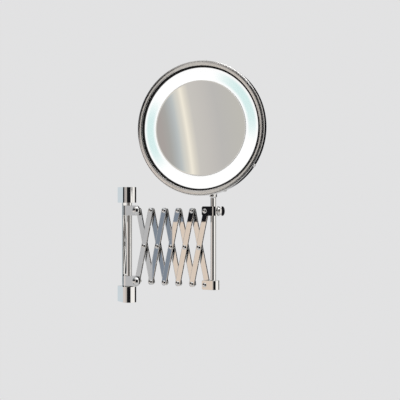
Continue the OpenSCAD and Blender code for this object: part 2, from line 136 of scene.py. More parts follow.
def finish_object(piece, body, nodes, material, slot):
    """Smooth shading weighted by face area, the finish, and the links to the frame."""
    mesh = piece.data
    mesh.polygons.foreach_set("use_smooth", np.ones(len(mesh.polygons), bool))
    bpy.context.scene.collection.objects.link(piece)
    weighted = piece.modifiers.new("even_shading", "WEIGHTED_NORMAL")
    weighted.mode = "FACE_AREA"
    weighted.weight = 100
    weighted.keep_sharp = True
    mesh.materials.clear()
    mesh.materials.append(material)
    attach(piece, body)
    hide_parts(*nodes)
    return piece


def grid_faces(rows, columns, close_rows=False):
    """Quads of a grid of points: quad (i, j) joins (i, j), (i, j+1), (i+1, j+1) and (i+1, j). Columns always close
    on themselves, rows if asked."""
    i = np.arange(rows if close_rows else rows - 1)[:, None]
    j = np.arange(columns)[None, :]
    next_i, next_j = (i + 1) % rows, (j + 1) % columns
    here, below = i * columns, next_i * columns
    return np.stack([here + j, here + next_j, below + next_j, below + j], -1).reshape(-1, 4).tolist()


def rounded(corners, steps=5):
    """A profile with its corners rounded. Each corner is (a, b, radius); one with a radius above zero becomes an
    arc that touches both neighbouring sides, radius / tan(half the corner's angle) from the corner."""
    corners = [np.array(c, float) for c in corners]
    out = []
    for i, corner in enumerate(corners):
        here, radius = corner[:2], corner[2]
        if radius <= 0 or i in (0, len(corners) - 1):
            out.append(here[None])
            continue
        before, after = unit(corners[i - 1][:2] - here), unit(corners[i + 1][:2] - here)
        half = math.acos(np.clip(before @ after, -1, 1)) / 2
        centre = here + unit(before + after) * radius / math.sin(half)
        first = here + before * radius / math.tan(half) - centre
        last = here + after * radius / math.tan(half) - centre
        turn = math.atan2(first[0] * last[1] - first[1] * last[0], first @ last)
        angles = np.linspace(0, turn, steps + 1)
        cos, sin = np.cos(angles), np.sin(angles)
        out.append(centre + np.stack([first[0] * cos - first[1] * sin, first[0] * sin + first[1] * cos], -1))
    return np.concatenate(out)


def dome_profile(radius, height, base, steps=10):
    """Spherical cap from its rim to its pole: r = R sin t and h = base + height - R (1 - cos t), where the ball's
    radius is R = (radius^2 + height^2) / (2 height)."""
    ball = (radius**2 + height**2) / (2 * height)
    t = np.linspace(math.asin(min(1.0, radius / ball)), 0, steps + 1)
    if height > radius:
        t[0] = math.pi - t[0]
    return np.stack([ball * np.sin(t), base + height - ball * (1 - np.cos(t))], -1)


def lathe(profile, place, segments, ring=False):
    """Surface of revolution: point (i, j) = (r_i cos a_j, r_i sin a_j, h_i). Returns vertices and faces."""
    angles = np.linspace(0, 2 * math.pi, segments, endpoint=False)
    r, h = profile[:, 0][:, None], profile[:, 1][:, None]
    points = np.stack([r * np.cos(angles), r * np.sin(angles), h + 0 * angles], -1)
    return place.points(points.reshape(-1, 3)), grid_faces(len(profile), segments, ring)


def gather(parts):
    """Several (vertices, faces) pairs as one."""
    vertices, faces, start = [], [], 0
    for points, quads in parts:
        vertices.append(points)
        faces += [[index + start for index in quad] for quad in quads]
        start += len(points)
    return np.concatenate(vertices), faces


FULL_INSET = 1e9
FACE_MARGIN = 0.6


def plate(outline, half, edge, place, steps=5):
    """A flat plate with rounded edges: point (u, v) = outline(u, inset_v) at height_v. v runs from the middle of
    the front face over the quarter circle of the edge, down the side and back to the middle of the rear face."""
    t = np.linspace(0, math.pi / 2, steps + 1)
    inset = np.concatenate([[FULL_INSET, edge + FACE_MARGIN], edge - edge * np.sin(t)])
    height = np.concatenate([[half, half], half - edge + edge * np.cos(t)])
    inset, height = np.concatenate([inset, inset[::-1]]), np.concatenate([height, -height[::-1]])
    rows = [np.concatenate([outline(i), np.full((len(outline(i)), 1), h)], 1) for i, h in zip(inset, height)]
    return place.points(np.concatenate(rows)), grid_faces(len(rows), len(rows[0]))


def stadium(length, radius, arc=20):
    """Outline of a bar from (0, 0) to (length, 0): two half circles (r cos t, r sin t), r = radius - inset."""

    def outline(inset):
        t = np.linspace(-math.pi / 2, math.pi / 2, arc)
        r = max(radius - inset, 0.0)
        tip = np.stack([length + r * np.cos(t), r * np.sin(t)], -1)
        foot = np.stack([-r * np.cos(t), -r * np.sin(t)], -1)
        return np.concatenate([tip, foot])

    return outline


def eased(name, node, body, width):
    """A polished copy of a CAD node, welded, with its sharp edges rounded off by width mm."""
    source = frame["nodes"][node]
    work = bmesh.new()
    work.from_mesh(source.data)
    bmesh.ops.remove_doubles(work, verts=work.verts, dist=2e-6)
    bmesh.ops.dissolve_limit(work, angle_limit=math.radians(0.4), verts=work.verts, edges=work.edges)
    mesh = bpy.data.meshes.new(name)
    work.to_mesh(mesh)
    work.free()
    piece = bpy.data.objects.new(name, mesh)
    bevel = piece.modifiers.new("eased_edges", "BEVEL")
    bevel.width = width * MM
    bevel.segments = 3
    bevel.limit_method = "ANGLE"
    bevel.angle_limit = math.radians(32)
    bevel.use_clamp_overlap = True
    return finish_object(piece, body, [node], CHROME, "chrome")


# ---- shader nodes -----------------------------------------------------------------------------------


def add(tree, kind, inputs=None, **settings):
    """A node with its settings and sockets set; a socket takes a value or another node's output."""
    node = tree.nodes.new(kind)
    for key, value in settings.items():
        setattr(node, key, value)
    for key, value in (inputs or {}).items():
        if isinstance(value, bpy.types.NodeSocket):
            tree.links.new(value, node.inputs[key])
        else:
            node.inputs[key].default_value = value
    return node


def maths(tree, operation, *values, clamp=False):
    """Output of a Math node."""
    return add(tree, "ShaderNodeMath", dict(enumerate(values)), operation=operation, use_clamp=clamp).outputs[0]


def span(tree, value, low, high, to_low=0.0, to_high=1.0):
    """A value taken smoothly from one range to another."""
    inputs = {"Value": value, "From Min": low, "From Max": high, "To Min": to_low, "To Max": to_high}
    return add(tree, "ShaderNodeMapRange", inputs, interpolation_type="SMOOTHSTEP").outputs[0]


def blend_colour(tree, factor, first, second):
    """First colour at factor 0, second at factor 1."""
    node = add(tree, "ShaderNodeMix", data_type="RGBA")
    sockets = {s.identifier: s for s in node.inputs}
    for key, value in (("Factor_Float", factor), ("A_Color", first), ("B_Color", second)):
        if isinstance(value, bpy.types.NodeSocket):
            tree.links.new(value, sockets[key])
        else:
            sockets[key].default_value = value if key == "Factor_Float" else (*value, 1.0)[:4]
    return next(s for s in node.outputs if s.identifier == "Result_Color")


def ramp(tree, value, stops):
    """Colour ramp over (position, colour) stops."""
    node = add(tree, "ShaderNodeValToRGB", {"Fac": value})
    elements = node.color_ramp.elements
    while len(elements) > 1:
        elements.remove(elements[-1])
    for index, (position, colour) in enumerate(stops):
        element = elements[0] if index == 0 else elements.new(position)
        element.position = position
        element.color = (*colour, 1.0)
    return node.outputs["Color"]


def make_group(name, inputs, outputs, build):
    """A shader node group; build(tree, inputs) returns the outputs by name."""
    tree = bpy.data.node_groups.new(name, "ShaderNodeTree")
    for socket, value in inputs.items():
        kind = "NodeSocketVector" if isinstance(value, tuple) else "NodeSocketFloat"
        made = tree.interface.new_socket(socket, in_out="INPUT", socket_type=kind)
        made.default_value = value
    for socket, kind in outputs.items():
        tree.interface.new_socket(socket, in_out="OUTPUT", socket_type=kind)
    entry, leave = tree.nodes.new("NodeGroupInput"), tree.nodes.new("NodeGroupOutput")
    for socket, value in build(tree, entry.outputs).items():
        tree.links.new(value, leave.inputs[socket])
    return tree


def object_point(tree):
    """Object coordinates."""
    return add(tree, "ShaderNodeTexCoord").outputs["Object"]


def noise(tree, vector, scale, detail=3.0, rough=0.5):
    """Noise from 0 to 1."""
    inputs = {"Vector": vector, "Scale": scale, "Detail": detail, "Roughness": rough}
    return add(tree, "ShaderNodeTexNoise", inputs).outputs["Fac"]


def build_handling(tree, inputs):
    """Haze and hairlines of handled metal: cloudy noise sets the roughness between Low and High, and noise drawn
    out along Stretch gives fine lines for the height."""
    point = object_point(tree)
    cloud = span(tree, noise(tree, point, inputs["Cloud Scale"], 4.0, 0.6), 0.35, 0.75)
    stretched = add(tree, "ShaderNodeVectorMath", {0: point, 1: inputs["Stretch"]}, operation="MULTIPLY")
    lines = noise(tree, stretched.outputs[0], inputs["Line Scale"], 2.0, 0.7)
    spread = maths(tree, "SUBTRACT", inputs["High"], inputs["Low"])
    mixed = maths(tree, "MULTIPLY_ADD", cloud, 0.75, maths(tree, "MULTIPLY", lines, 0.25))
    roughness = maths(tree, "MULTIPLY_ADD", spread, mixed, inputs["Low"])
    return {"Roughness": roughness, "Height": lines, "Cloud": cloud}


def build_dust(tree, inputs):
    """Dust settles on faces that look up: the normal's Z, broken up by noise, times Amount."""
    normal = add(tree, "ShaderNodeTexCoord").outputs["Normal"]
    upward = add(tree, "ShaderNodeSeparateXYZ", {0: normal}).outputs["Z"]
    patches = span(tree, noise(tree, object_point(tree), 90.0, 5.0, 0.7), 0.3, 0.7)
    mask = maths(tree, "MULTIPLY", span(tree, upward, 0.3, 1.0), patches)
    return {"Mask": maths(tree, "MULTIPLY", mask, inputs["Amount"])}


def build_grain(tree, inputs):
    """Moulded or sprayed surface: fine noise for the height, coarser noise for the tone."""
    point = object_point(tree)
    fine = noise(tree, point, inputs["Fine Scale"], 2.0, 0.6)
    tone = noise(tree, point, inputs["Tone Scale"], 4.0, 0.55)
    return {"Height": fine, "Tone": tone}


FLOAT = "NodeSocketFloat"
HANDLING = make_group(
    "handling_marks",
    {"Cloud Scale": 40.0, "Line Scale": 900.0, "Stretch": (1.0, 1.0, 0.08), "Low": 0.03, "High": 0.08},
    {"Roughness": FLOAT, "Height": FLOAT, "Cloud": FLOAT}, build_handling)
DUST = make_group("settled_dust", {"Amount": 0.1}, {"Mask": FLOAT}, build_dust)
GRAIN = make_group("surface_grain", {"Fine Scale": 2500.0, "Tone Scale": 60.0},
                   {"Height": FLOAT, "Tone": FLOAT}, build_grain)


def use_group(tree, group, **inputs):
    """Places a shared group, with its own values."""
    node = add(tree, "ShaderNodeGroup", node_tree=group)
    for key, value in inputs.items():
        node.inputs[key.replace("_", " ").title()].default_value = value
    return node.outputs


def start_material(name):
    """An empty material: its tree and its Principled node."""
    material = bpy.data.materials.new(name)
    material.use_nodes = True
    tree = material.node_tree
    tree.nodes.clear()
    shader = add(tree, "ShaderNodeBsdfPrincipled")
    out = add(tree, "ShaderNodeOutputMaterial")
    tree.links.new(shader.outputs[0], out.inputs["Surface"])
    return material, tree, shader


def bump(tree, shader, height, strength, depth):
    """Height to the shader's normal; depth in metres."""
    node = add(tree, "ShaderNodeBump", {"Strength": strength, "Distance": depth, "Height": height})
    tree.links.new(node.outputs[0], shader.inputs["Normal"])


def metal(name, colour, dull, low, high, stretch=(1.0, 1.0, 0.08), line_scale=900.0, depth=2e-6, dust=0.05):
    """Polished or brushed metal: handling marks, a slightly duller tone in the haze, and a little dust."""
    material, tree, shader = start_material(name)
    marks = use_group(tree, HANDLING, low=low, high=high, stretch=stretch, line_scale=line_scale)
    dusty = use_group(tree, DUST, amount=dust)["Mask"]
    tone = blend_colour(tree, marks["Cloud"], colour, dull)
    tree.links.new(blend_colour(tree, dusty, tone, DUST_TONE), shader.inputs["Base Color"])
    tree.links.new(maths(tree, "MULTIPLY_ADD", dusty, 0.5, marks["Roughness"]), shader.inputs["Roughness"])
    shader.inputs["Metallic"].default_value = 1.0
    bump(tree, shader, marks["Height"], 0.25, depth)
    return material


def moulded(name, colour, shade, rough, fine=2500.0, depth=1.5e-5, dust=0.08, specular=0.5, coat=0.0):
    """Plastic, rubber or lacquer: grain in the height, mottled tone and roughness, and a little dust."""
    material, tree, shader = start_material(name)
    grain = use_group(tree, GRAIN, fine_scale=fine)
    dusty = use_group(tree, DUST, amount=dust)["Mask"]
    tone = blend_colour(tree, grain["Tone"], colour, shade)
    tree.links.new(blend_colour(tree, dusty, tone, PLASTIC_DUST_TONE), shader.inputs["Base Color"])
    tree.links.new(span(tree, grain["Tone"], 0.2, 0.8, rough - 0.06, rough + 0.08), shader.inputs["Roughness"])
    shader.inputs["Specular IOR Level"].default_value = specular
    shader.inputs["Coat Weight"].default_value = coat
    bump(tree, shader, grain["Height"], 0.3, depth)
    return material


CHROME = metal("polished_chrome", (0.76, 0.76, 0.755), (0.74, 0.738, 0.73), 0.004, 0.024,
               depth=6e-7, dust=0.03)
SATIN_CHROME = metal("satin_chrome", (0.89, 0.885, 0.88), (0.86, 0.855, 0.85), 0.17, 0.23,
                     depth=6e-7, dust=0.03)
INNER_STEEL = metal("plain_steel", (0.58, 0.58, 0.58), (0.52, 0.52, 0.52), 0.22, 0.38,
                    stretch=(0.1, 1.0, 1.0), line_scale=700.0, depth=6e-6)
SCREW_STEEL = metal("blackened_steel", (0.16, 0.16, 0.165), (0.11, 0.11, 0.11), 0.3, 0.45,
                    stretch=(1.0, 1.0, 1.0), line_scale=1500.0, depth=8e-6)
NYLON = moulded("white_nylon", (0.86, 0.86, 0.83), (0.80, 0.79, 0.75), 0.45)
BUSH_NYLON = moulded("natural_nylon", (0.66, 0.66, 0.63), (0.60, 0.59, 0.56), 0.5)
# Black of the front seal ring: partly the rubber seal itself, partly painted shade for the shaded inner wall of
# the rim beside the opal ring.
SEAL_BLACK_AND_SHADE = moulded("black_rubber", (0.012, 0.012, 0.013), (0.02, 0.019, 0.018), 0.55, dust=0.04, specular=0.3)
LACQUER = moulded("white_lacquer", (0.90, 0.90, 0.89), (0.86, 0.86, 0.85), 0.3, 1200.0, 4e-6, coat=0.2)
DARK_PLASTIC = moulded("dark_plastic", (0.035, 0.036, 0.04), (0.05, 0.05, 0.055), 0.42)
BUTTON_PLASTIC = moulded("button_cap", (0.82, 0.82, 0.82), (0.76, 0.76, 0.76), 0.22, 1500.0, 2e-6, coat=0.4)
LED_PLASTIC = moulded("led_cap", (0.92, 0.88, 0.60), (0.90, 0.84, 0.50), 0.25, 1500.0, 3e-6)


def mirror_material():
    """Silvered glass: a clean reflecting back under a thin clear face, with the faintest polishing haze."""
    material, tree, shader = start_material("silvered_glass")
    haze = noise(tree, object_point(tree), 25.0, 4.0, 0.6)
    tone = blend_colour(tree, haze, (0.87, 0.875, 0.87), (0.85, 0.858, 0.855))
    tree.links.new(tone, shader.inputs["Base Color"])
    tree.links.new(span(tree, haze, 0.3, 0.8, 0.0, 0.004), shader.inputs["Roughness"])
    shader.inputs["Metallic"].default_value = 1.0
    shader.inputs["Coat Weight"].default_value = 0.1
    return material


def opal_material(lobes):
    """Lit opal ring: white light, cooler along some stretches of the ring, and a sprayed grain. A lobe is an
    angle in degrees, the cosine at which its cooler light starts, and its strength."""
    material, tree, shader = start_material("lit_opal")
    turn = Matrix(HEAD.axes.T.tolist()).to_euler()
    inputs = {"Vector": object_point(tree), "Location": HEAD.origin.tolist(), "Rotation": turn}
    local = add(tree, "ShaderNodeMapping", inputs, vector_type="TEXTURE").outputs[0]
    flat = add(tree, "ShaderNodeVectorMath", {0: local, 1: (1.0, 1.0, 0.0)}, operation="MULTIPLY").outputs[0]
    radius = add(tree, "ShaderNodeVectorMath", {0: flat}, operation="LENGTH").outputs["Value"]
    heading = add(tree, "ShaderNodeVectorMath", {0: flat}, operation="NORMALIZE").outputs[0]
    cool = 0.0
    for angle, start, strength in lobes:
        way = (math.cos(math.radians(angle)), math.sin(math.radians(angle)), 0.0)
        facing = add(tree, "ShaderNodeVectorMath", {0: heading, 1: way}, operation="DOT_PRODUCT")
        cool = maths(tree, "MULTIPLY_ADD", span(tree, facing.outputs["Value"], start, 1.0), strength, cool)
    middle = maths(tree, "MULTIPLY", span(tree, radius, 0.082, 0.089), span(tree, radius, 0.103, 0.096))
    cool = maths(tree, "MULTIPLY", cool, middle, clamp=True)
    glow = blend_colour(tree, cool, (1.0, 1.0, 1.0), (0.58, 0.79, 0.78))
    grain = use_group(tree, GRAIN, fine_scale=1800.0)
    tree.links.new(glow, shader.inputs["Emission Color"])
    tone = blend_colour(tree, grain["Tone"], (0.27, 0.28, 0.28), (0.25, 0.26, 0.26))
    tree.links.new(tone, shader.inputs["Base Color"])
    tree.links.new(span(tree, grain["Tone"], 0.2, 0.8, 0.35, 0.5), shader.inputs["Roughness"])
    shader.inputs["Emission Strength"].default_value = 0.88
    bump(tree, shader, grain["Height"], 0.2, 4e-6)
    return material


MIRROR = mirror_material()
OPAL = opal_material([(186, 0.72, 0.95), (30, 0.66, 0.95)])

# ---- turned and flat pieces -------------------------------------------------------------------------


def turned(name, body, nodes, profile, place, segments=64, ring=False, material=CHROME, slot="chrome"):
    """One lathe-turned piece."""
    vertices, faces = lathe(np.array(profile), place, segments, ring)
    return new_object(name, vertices, faces, body, nodes, material, slot)


def rod_profile(radius, low, high, ease):
    """A rod from pole to pole with rounded ends."""
    return rounded([(0, low, 0), (radius, low, ease), (radius, high, ease), (0, high, 0)])


def pivot_profile(shank, front, rear, head_r, head_h, tail_r, tail_h):
    """A pivot from its tail's pole to its dome's pole; the dome sits on a low cylindrical rim."""
    rim = 0.35
    tail = rounded([(0, rear - tail_h, 0), (tail_r, rear - tail_h, 0.4), (tail_r, rear, 0.05), (shank, rear, 0),
                    (shank, front, 0), (head_r, front, 0.05), (head_r, front + rim, 0)], 3)
    return np.concatenate([tail, dome_profile(head_r, head_h - rim, front + rim, 12)])


def pivots(name, body, nodes, places, profile, segments=40):
    """Several pivots as one piece, each along the arm's front direction."""
    parts = [lathe(profile, place.turned_to(-ARM_BACK), segments) for place in places]
    vertices, faces = gather(parts)
    return new_object(name, vertices, faces, body, nodes, CHROME, "chrome")


# wall unit
ROD_R = 5.0
COLLAR_HALF = 8.3
STEP_REAR = -4.3
COLLAR_EASE, BRACKET_EASE, PLATE_EASE, FORK_EASE = 0.4, 0.45, 0.3, 0.35
wall_low, wall_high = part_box("wall_rod")
turned("wall_rod_tube", "wall_mount", ["wall_rod"],
       rod_profile(ROD_R, wall_low.z / MM, wall_high.z / MM, 1.0), ARM, 72)
for side in ("upper", "lower"):
    eased(f"{side}_bracket_shell", f"{side}_bracket", "wall_mount", BRACKET_EASE)
    eased(f"{side}_wall_collar_block", f"{side}_wall_collar", f"{side}_wall_collar", COLLAR_EASE)
eased("wall_plate_strip", "wall_plate", "wall_mount", PLATE_EASE)
eased("lower_end_block_body", "lower_end_block", "lower_end_block", COLLAR_EASE)
eased("upper_end_collar_body", "upper_end_collar", "upper_end_collar", COLLAR_EASE)

WASHER_BORE, WASHER_R = 5.15, 8.0
washer_low, washer_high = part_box("glide_washer")
turned("glide_washer_ring", "wall_mount", ["glide_washer"],
       rounded([(WASHER_BORE, washer_low.z / MM, 0), (WASHER_R, washer_low.z / MM, 0.3),
                (WASHER_R, washer_high.z / MM, 0.3), (WASHER_BORE, washer_high.z / MM, 0)]),
       ARM, 48, True, NYLON, "nylon")

# scissor bars
BAR_W, BAR_T, BAR_EDGE, BAR_GAP = 10.5, 3.0, 0.35, 2.0
BAR_LONG = math.hypot(BAY, HIGH_Z - LOW_Z)
BAR_OUT = BAR_GAP / 2 + BAR_T


def bar(name, body, node, foot, lean, side):
    """A bar from its lower pivot upwards; side is -1 in the front row and 1 in the rear row."""
    along = ARM_X * math.sin(lean) + UP * math.cos(lean)
    centre = ARM.at(foot, side * (BAR_OUT - BAR_T / 2), LOW_Z).origin
    place = Place(centre, along, np.cross(-ARM_BACK, along), -ARM_BACK)
    vertices, faces = plate(stadium(BAR_LONG, BAR_W / 2), BAR_T / 2, BAR_EDGE, place)
    return new_object(name, vertices, faces, body, [node], CHROME, "chrome")


PIN_R, RIVET_R, RIVET_H = 2.0, 4.2, 2.2
RIVET = pivot_profile(PIN_R, BAR_OUT, -BAR_OUT - 0.2, RIVET_R, RIVET_H, 3.5, 1.2)
for k in range(1, UNITS + 1):
    bar(f"front_bar_{k}_strip", f"front_bar_{k}", f"front_bar_{k}", WALL_EAR + (k - 1) * BAY, LEAN, -1)
    bar(f"rear_bar_{k}_strip", f"rear_bar_{k}", f"rear_bar_{k}", WALL_EAR + k * BAY, -LEAN, 1)
    spots = [ARM.at(WALL_EAR + (k - 0.5) * BAY, 0, (LOW_Z + HIGH_Z) / 2)]
    if k > 1:
        spots.append(ARM.at(WALL_EAR + (k - 1) * BAY, 0, LOW_Z))
    if k < UNITS:
        spots.append(ARM.at(WALL_EAR + k * BAY, 0, HIGH_Z))
    pivots(f"rivet_set_{k}", f"front_bar_{k}", [f"rivets_{k}"], spots, RIVET)

TAIL_R, TAIL_H = 3.75, 1.6
DOME_SCREW = pivot_profile(PIN_R, COLLAR_HALF, STEP_REAR, 7.25, 4.0, TAIL_R, TAIL_H)
END_SCREW = pivot_profile(PIN_R, COLLAR_HALF, STEP_REAR, RIVET_R, RIVET_H, TAIL_R, TAIL_H)
for side, height in (("lower", LOW_Z), ("upper", HIGH_Z)):
    pivots(f"{side}_wall_dome_screw", f"{side}_wall_collar", [f"{side}_wall_pivot_screw"],
           [ARM.at(WALL_EAR, 0, height)], DOME_SCREW, 56)
pivots("lower_end_screw", "lower_end_block", ["lower_end_pivot_screw"], [ARM.at(END_X, 0, LOW_Z)], END_SCREW)
pivots("upper_end_screw", "upper_end_collar", ["upper_end_pivot_screw"], [ARM.at(END_X, 0, HIGH_Z)], END_SCREW)

# clamp knob: thread, flange, hollow waist and wide domed end
KNOB_BASE, KNOB_TOP, THREAD_R, THREAD_TIP = 11.6, 19.1, 2.5, 7.1
knob = np.concatenate([
    rounded([(0, THREAD_TIP, 0), (THREAD_R, THREAD_TIP, 0.3), (THREAD_R, KNOB_BASE, 0), (7.3, KNOB_BASE, 0.5),
             (7.3, KNOB_BASE + 0.9, 0.4), (6.0, KNOB_BASE + 1.7, 1.4), (5.8, KNOB_BASE + 3.3, 2.0),
             (7.0, KNOB_BASE + 5.2, 1.0), (8.5, KNOB_BASE + 5.7, 0.5), (8.5, KNOB_BASE + 7.2, 0.4),
             (7.8, KNOB_TOP, 0)], 4),
    dome_profile(7.6, 0.8, KNOB_TOP, 10)])
turned("clamp_thumb_knob", "clamp_knob", ["clamp_knob"], knob, ARM_END.at(0, 0, HIGH_Z).turned_to(ARM_X), 64)

# mirror rod, fork and pin
rod_low, rod_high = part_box("mirror_rod")
SHOULDER = LOW_Z + COLLAR_HALF + 0.1
JOURNAL_R, SPIGOT_R, ROD_TOP = 4.0, 2.5, 86.5
turned("mirror_rod_tube", "mirror_rod", ["mirror_rod"],
       rounded([(0, rod_low.z / MM, 0), (JOURNAL_R, rod_low.z / MM, 0.3), (JOURNAL_R, SHOULDER, 0),
                (ROD_R, SHOULDER, 0.5), (ROD_R, ROD_TOP, 0.3), (SPIGOT_R, ROD_TOP, 0),
                (SPIGOT_R, rod_high.z / MM, 0.2), (0, rod_high.z / MM, 0)], 4), ROD, 72)
eased("tilt_fork_body", "tilt_fork", "mirror_rod", FORK_EASE)
eased("tilt_tongue", "tilt_lug", "mirror_head", FORK_EASE)

FORK_HALF, TILT_PIN_R, TILT_HEAD_R, TILT_HEAD_H = 5.8, 2.2, 3.6, 1.3
pin_end = dome_profile(TILT_HEAD_R, TILT_HEAD_H, FORK_HALF, 8)
turned("tilt_pin_rod", "mirror_rod", ["tilt_pin"],
       np.concatenate([pin_end[::-1] * [1, -1], [(TILT_PIN_R, -FORK_HALF), (TILT_PIN_R, FORK_HALF)], pin_end]),
       ROD.at(0, 0, TILT_Z).turned_to(HEAD_X), 40)

# the four screws of the lug's flange, behind the head
FLANGE_LOW, FLANGE_REAR = TILT_Z + 20.0, -29.0
LUG_HEAD_R, LUG_SHANK_R, LUG_TIP, HEAD_RIM = 3.6, 2.0, -6.0, 0.3
lug_head = np.concatenate([
    rounded([(0, LUG_TIP, 0), (LUG_SHANK_R, LUG_TIP, 0.3), (LUG_SHANK_R, 0, 0), (LUG_HEAD_R, 0, 0.1),
             (LUG_HEAD_R, HEAD_RIM, 0)], 3),
    dome_profile(LUG_HEAD_R, 1.7, HEAD_RIM, 8)])
lug_parts = [lathe(lug_head, ROD.at(x, FLANGE_REAR, FLANGE_LOW + z).turned_to(HEAD_BACK), 32)
             for x in (-9, 9) for z in (7, 29)]
new_object("lug_screw_set", *gather(lug_parts), "mirror_head", ["lug_screws"], CHROME, "chrome")

# ---- mirror head ------------------------------------------------------------------------------------

RIM_R, SKIRT_BORE, BAND_R, BAND_IN = 115.0, 113.0, 112.9, 106.45
SEAL_OUT, SEAL_IN, SEAL_FACE = 106.3, 103.2, -3.0
OPAL_OUT, OPAL_STEP, OPAL_IN, OPAL_FACE = 106.0, 103.1, 81.9, -4.5
GLASS_R, GLASS_FACE, GLASS_EDGE, DISH_R = 81.5, -5.4, 0.15, 1200.0
SEAT, FLOOR, SKIRT_REAR, BAND_FLOOR = -6.1, -7.9, -13.0, -0.66
BIG = 192


def arc(centre, radius, start, stop, steps):
    """Points of an arc in the profile's plane; angles in degrees from the +r direction."""
    t = np.radians(np.linspace(start, stop, steps + 1))
    return np.stack([centre[0] + radius * np.cos(t), centre[1] + radius * np.sin(t)], -1)


# the rim: inner wall, satin band, groove, bead and skirt
rim = turned("bezel_rim", "mirror_head", ["bezel_ring"], np.concatenate([
    [(BAND_IN, -6.0), (BAND_IN, -0.62)],
    arc((109.7, -14.0), 14.0, 103.0, 77.2, 16),
    rounded([(BAND_R - 0.02, -0.5, 0), (BAND_R, -4.0, 0.15), (BAND_R + 0.3, -4.3, 0.1),
             (BAND_R + 0.3, -2.5, 0)], 4),
    arc((114.1, -1.6), 0.9, 178, 0, 12),
    rounded([(RIM_R, -2.0, 0), (RIM_R, SKIRT_REAR, 0.5), (SKIRT_BORE, SKIRT_REAR, 0.3),
             (SKIRT_BORE, -6.0, 0)], 4),
]), HEAD, BIG, True)
rim.data.materials.append(SATIN_CHROME)
for polygon in rim.data.polygons:
    if (np.array(polygon.center) - HEAD.origin) @ -HEAD_BACK > BAND_FLOOR * MM:
        polygon.material_index = 1
# The black seal ring is partly a real seal and partly painted shade: its black also stands in for the shade on the
# rim's inner wall next to the opal ring.
turned("seal_and_shade_ring", "mirror_head", ["front_seal"],
       rounded([(SEAL_IN, SEAT, 0), (SEAL_OUT, SEAT, 0.2), (SEAL_OUT, SEAL_FACE, 0.3),
                (SEAL_IN, SEAL_FACE, 0.5), (SEAL_IN, SEAT + 0.05, 0)], 4),
       HEAD, BIG, True, SEAL_BLACK_AND_SHADE, "black_rubber")
turned("opal_ring", "mirror_head", ["diffuser_ring"],
       rounded([(OPAL_IN, FLOOR, 0), (OPAL_OUT, FLOOR, 0.2), (OPAL_OUT, SEAT, 0.2), (OPAL_STEP, SEAT, 0),
                (OPAL_STEP, OPAL_FACE, 0.5), (OPAL_IN, OPAL_FACE, 0.5), (OPAL_IN, FLOOR + 0.1, 0)], 5),
       HEAD, BIG, True, OPAL, "opal")

# the glass is a shallow dish, h = GLASS_FACE + r^2 / (2 DISH_R)
r = np.linspace(0, GLASS_R - GLASS_EDGE, 40)
dish = np.stack([r, GLASS_FACE + r**2 / (2 * DISH_R)], -1)
brink = GLASS_FACE + GLASS_R**2 / (2 * DISH_R) - GLASS_EDGE
turned("dished_glass", "mirror_head", ["mirror_glass"],
       np.concatenate([dish, [(GLASS_R, brink), (GLASS_R, FLOOR), (0, FLOOR)]]),
       HEAD, BIG, False, MIRROR, "mirror_glass")

DRUM_R, DRUM_REAR, DRUM_INSIDE, FLANGE_R = 105.0, -38.0, -36.4, 112.8
cover = rounded([
    (0, DRUM_REAR, 0), (DRUM_R, DRUM_REAR, 8), (DRUM_R + 3.5, -13.6, 1.2), (FLANGE_R - 0.2, -13.4, 0.6),
    (FLANGE_R, -6.2, 0.3), (110.8, -6.2, 0.3), (110.8, -11.8, 0.3), (106.9, -11.8, 0.5),
    (103.4, DRUM_INSIDE, 6.4), (0, DRUM_INSIDE, 0)], 8)
turned("drum_cover", "mirror_head", ["rear_housing"], cover, HEAD, BIG)

RIM_HEAD_R, RIM_HEAD_LOW, RIM_SHANK_R = 3.3, 2.2, 1.5
screw_head = np.concatenate([
    rounded([(0, -RIM_HEAD_LOW, 0), (RIM_SHANK_R, -RIM_HEAD_LOW, 0.2), (RIM_SHANK_R, RIM_HEAD_LOW, 0),
             (RIM_HEAD_R, RIM_HEAD_LOW, 0), (RIM_HEAD_R, RIM_HEAD_LOW + HEAD_RIM, 0)], 3),
    dome_profile(RIM_HEAD_R, 1.4, RIM_HEAD_LOW + HEAD_RIM, 10)])


def on_skirt(angle, depth, radius):
    """A place on the skirt with +Z outwards from the head's axis."""
    a = math.radians(angle)
    outward = HEAD_X * math.cos(a) + UP * math.sin(a)
    return HEAD.at(radius * math.cos(a), radius * math.sin(a), -depth).turned_to(outward)


rim_parts = [lathe(screw_head, on_skirt(a, 8.5, FLANGE_R), 36) for a in (86, -34, 206)]
new_object("rim_screw_set", *gather(rim_parts), "mirror_head", ["bezel_screws"], CHROME, "chrome")
CAP_R, CAP_LOW, CAP_HIGH = 3.0, 112.0, 115.7
cap = np.concatenate([rounded([(0, CAP_LOW, 0), (CAP_R, CAP_LOW, 0.2), (CAP_R, CAP_HIGH, 0)], 3),
                      dome_profile(CAP_R, 1.3, CAP_HIGH, 8)])
turned("push_button", "switch_button", ["switch_button"], cap, on_skirt(-68, 9.6, 0), 36, False,
       BUTTON_PLASTIC, "button_cap")
INLET_R, NUT_TOP, NOZZLE_END = 3.0, -33.4, -47.0
turned("gland_body", "mirror_head", ["cable_gland"],
       rounded([(INLET_R, NUT_TOP, 0), (8.2, NUT_TOP, 0.3), (8.2, DRUM_INSIDE, 0.3), (6, DRUM_INSIDE, 0),
                (6, DRUM_REAR, 0), (8, DRUM_REAR, 0.2), (8, -41, 0.4), (7, -41.2, 0), (5.5, NOZZLE_END, 0.8),
                (INLET_R, NOZZLE_END, 0.6), (INLET_R, NUT_TOP - 0.1, 0)], 3),
       HEAD.at(-46, -66, 0), 48, True, DARK_PLASTIC, "dark_plastic")

# ---- finishes of the CAD nodes that stay ------------------------------------------------------------

